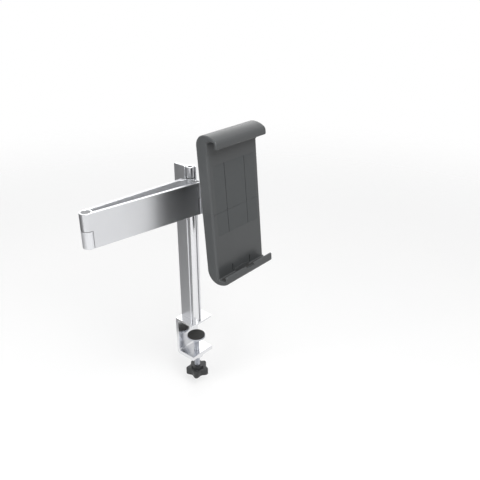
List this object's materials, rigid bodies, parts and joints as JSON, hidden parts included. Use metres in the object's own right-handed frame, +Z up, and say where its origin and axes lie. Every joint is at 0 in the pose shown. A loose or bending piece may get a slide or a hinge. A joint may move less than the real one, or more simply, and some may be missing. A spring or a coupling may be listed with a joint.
{
  "type": "tablet clamp mount",
  "caption": "Desk-edge clamp with an aluminium post, a folding two-part swing arm, a tilt and turn joint and a spring-loaded two-jaw tablet holder.",
  "frame": {"origin": "where the post's axis meets the desk's top surface, on the underside of the top pad", "axes": "+X along the desk's edge, +Y out over the edge, +Z up along the post; the holder faces -Y"},
  "size_m": [0.2018, 0.1247, 0.3864],
  "materials": {
    "satin_aluminium": "satin anodised extrusion",
    "polished_aluminium": "polished",
    "anthracite_plastic": "matte, finely grained moulding",
    "anthracite_soft_touch": "soft-touch matte",
    "black_plastic": "moulded",
    "dark_polymer": "plain",
    "grey_polymer": "plain",
    "white_polymer": "plain",
    "black_rubber": "matte",
    "zinc_steel": "bright zinc plate",
    "black_steel": "black oxide",
    "spring_steel": "blued"
  },
  "bodies": {
    "stand": {"clamp_bracket": "polished_aluminium", "desk_pad": "black_rubber", "post_profile": "satin_aluminium", "post_screws": "zinc_steel", "spacer_rod": "polished_aluminium", "thrust_washers": "dark_polymer", "stop_bush": "white_polymer", "stop_screw": "black_steel"},
    "foot": {"pressure_plate": "zinc_steel", "pressure_pad": "black_rubber"},
    "screw": {"clamp_spindle": "zinc_steel", "clamp_knob": "black_plastic"},
    "rear_arm": {"rear_arm": "satin_aluminium"},
    "front_arm": {"front_arm": "satin_aluminium", "elbow_pin": "grey_polymer", "elbow_washer": "dark_polymer"},
    "link": {"wrist_link": "satin_aluminium", "wrist_pin": "grey_polymer", "wrist_washer": "dark_polymer"},
    "tilt_head": {"tilt_head": "anthracite_plastic", "tilt_washers": "dark_polymer", "tilt_bolt": "black_steel", "tilt_nut": "black_steel", "friction_ring": "dark_polymer", "pivot_screw": "zinc_steel"},
    "carrier": {"carrier_tray": "anthracite_plastic", "carrier_cover": "anthracite_plastic", "cover_screws": "black_steel", "pinion_pin": "zinc_steel", "return_spring": "spring_steel"},
    "pinion": {"pinion": "white_polymer"},
    "upper_jaw": {"upper_jaw": "anthracite_plastic", "upper_rack": "white_polymer", "upper_rack_screw": "black_steel", "upper_face_pads": "anthracite_soft_touch", "upper_hook_liner": "black_rubber"},
    "lower_jaw": {"lower_jaw": "anthracite_plastic", "lower_rack": "white_polymer", "lower_rack_screw": "black_steel", "lower_face_pads": "anthracite_soft_touch", "lower_ledge_liner": "black_rubber"}
  },
  "joints": [
    {"name": "foot_slide", "type": "slide", "parent": "stand", "child": "foot", "axis": [0, 0, 1], "range_m": [-0.015, 0.015]},
    {"name": "screw_turn", "type": "hinge", "parent": "foot", "child": "screw", "pos_m": [0.00425, 0.005, -0.0345], "axis": [0, 0, 1], "range_deg": [-4330, 4330]},
    {"name": "post_swing", "type": "hinge", "parent": "stand", "child": "rear_arm", "pos_m": [0, 0, 0.1953], "axis": [0, 0, 1], "range_deg": [-5, 110]},
    {"name": "elbow_fold", "type": "hinge", "parent": "rear_arm", "child": "front_arm", "pos_m": [-0.1511, 0.0108, 0.1953], "axis": [0, 0, -1], "range_deg": [0, 180]},
    {"name": "wrist_swivel", "type": "hinge", "parent": "front_arm", "child": "link", "pos_m": [-0.0038, -0.0138, 0.1953], "axis": [0, 0, 1], "range_deg": [-25, 90]},
    {"name": "holder_tilt", "type": "hinge", "parent": "link", "child": "tilt_head", "pos_m": [0, -0.049, 0.198], "axis": [-1, 0, 0], "range_deg": [-25, 40]},
    {"name": "holder_turn", "type": "hinge", "parent": "tilt_head", "child": "carrier", "pos_m": [0, -0.07769, 0.20051], "axis": [0, -0.9962, 0.0872], "continuous": true},
    {"name": "upper_jaw_slide", "type": "slide", "parent": "carrier", "child": "upper_jaw", "axis": [0, 0.0872, 0.9962], "range_m": [0, 0.06], "stiffness_N_per_m": 60, "springref_m": -0.08},
    {"name": "lower_jaw_slide", "type": "slide", "parent": "carrier", "child": "lower_jaw", "axis": [0, -0.0872, -0.9962], "range_m": [0, 0.06]},
    {"name": "pinion_spin", "type": "hinge", "parent": "carrier", "child": "pinion", "pos_m": [0, -0.07769, 0.20051], "axis": [0, -0.9962, 0.0872], "range_deg": [-5, 496]}
  ],
  "couplings": [
    {"joint": "screw_turn", "follows": "foot_slide", "rad_per_m": 5026.5},
    {"joint": "lower_jaw_slide", "follows": "upper_jaw_slide", "ratio": 1},
    {"joint": "pinion_spin", "follows": "upper_jaw_slide", "rad_per_m": 142.86}
  ]
}
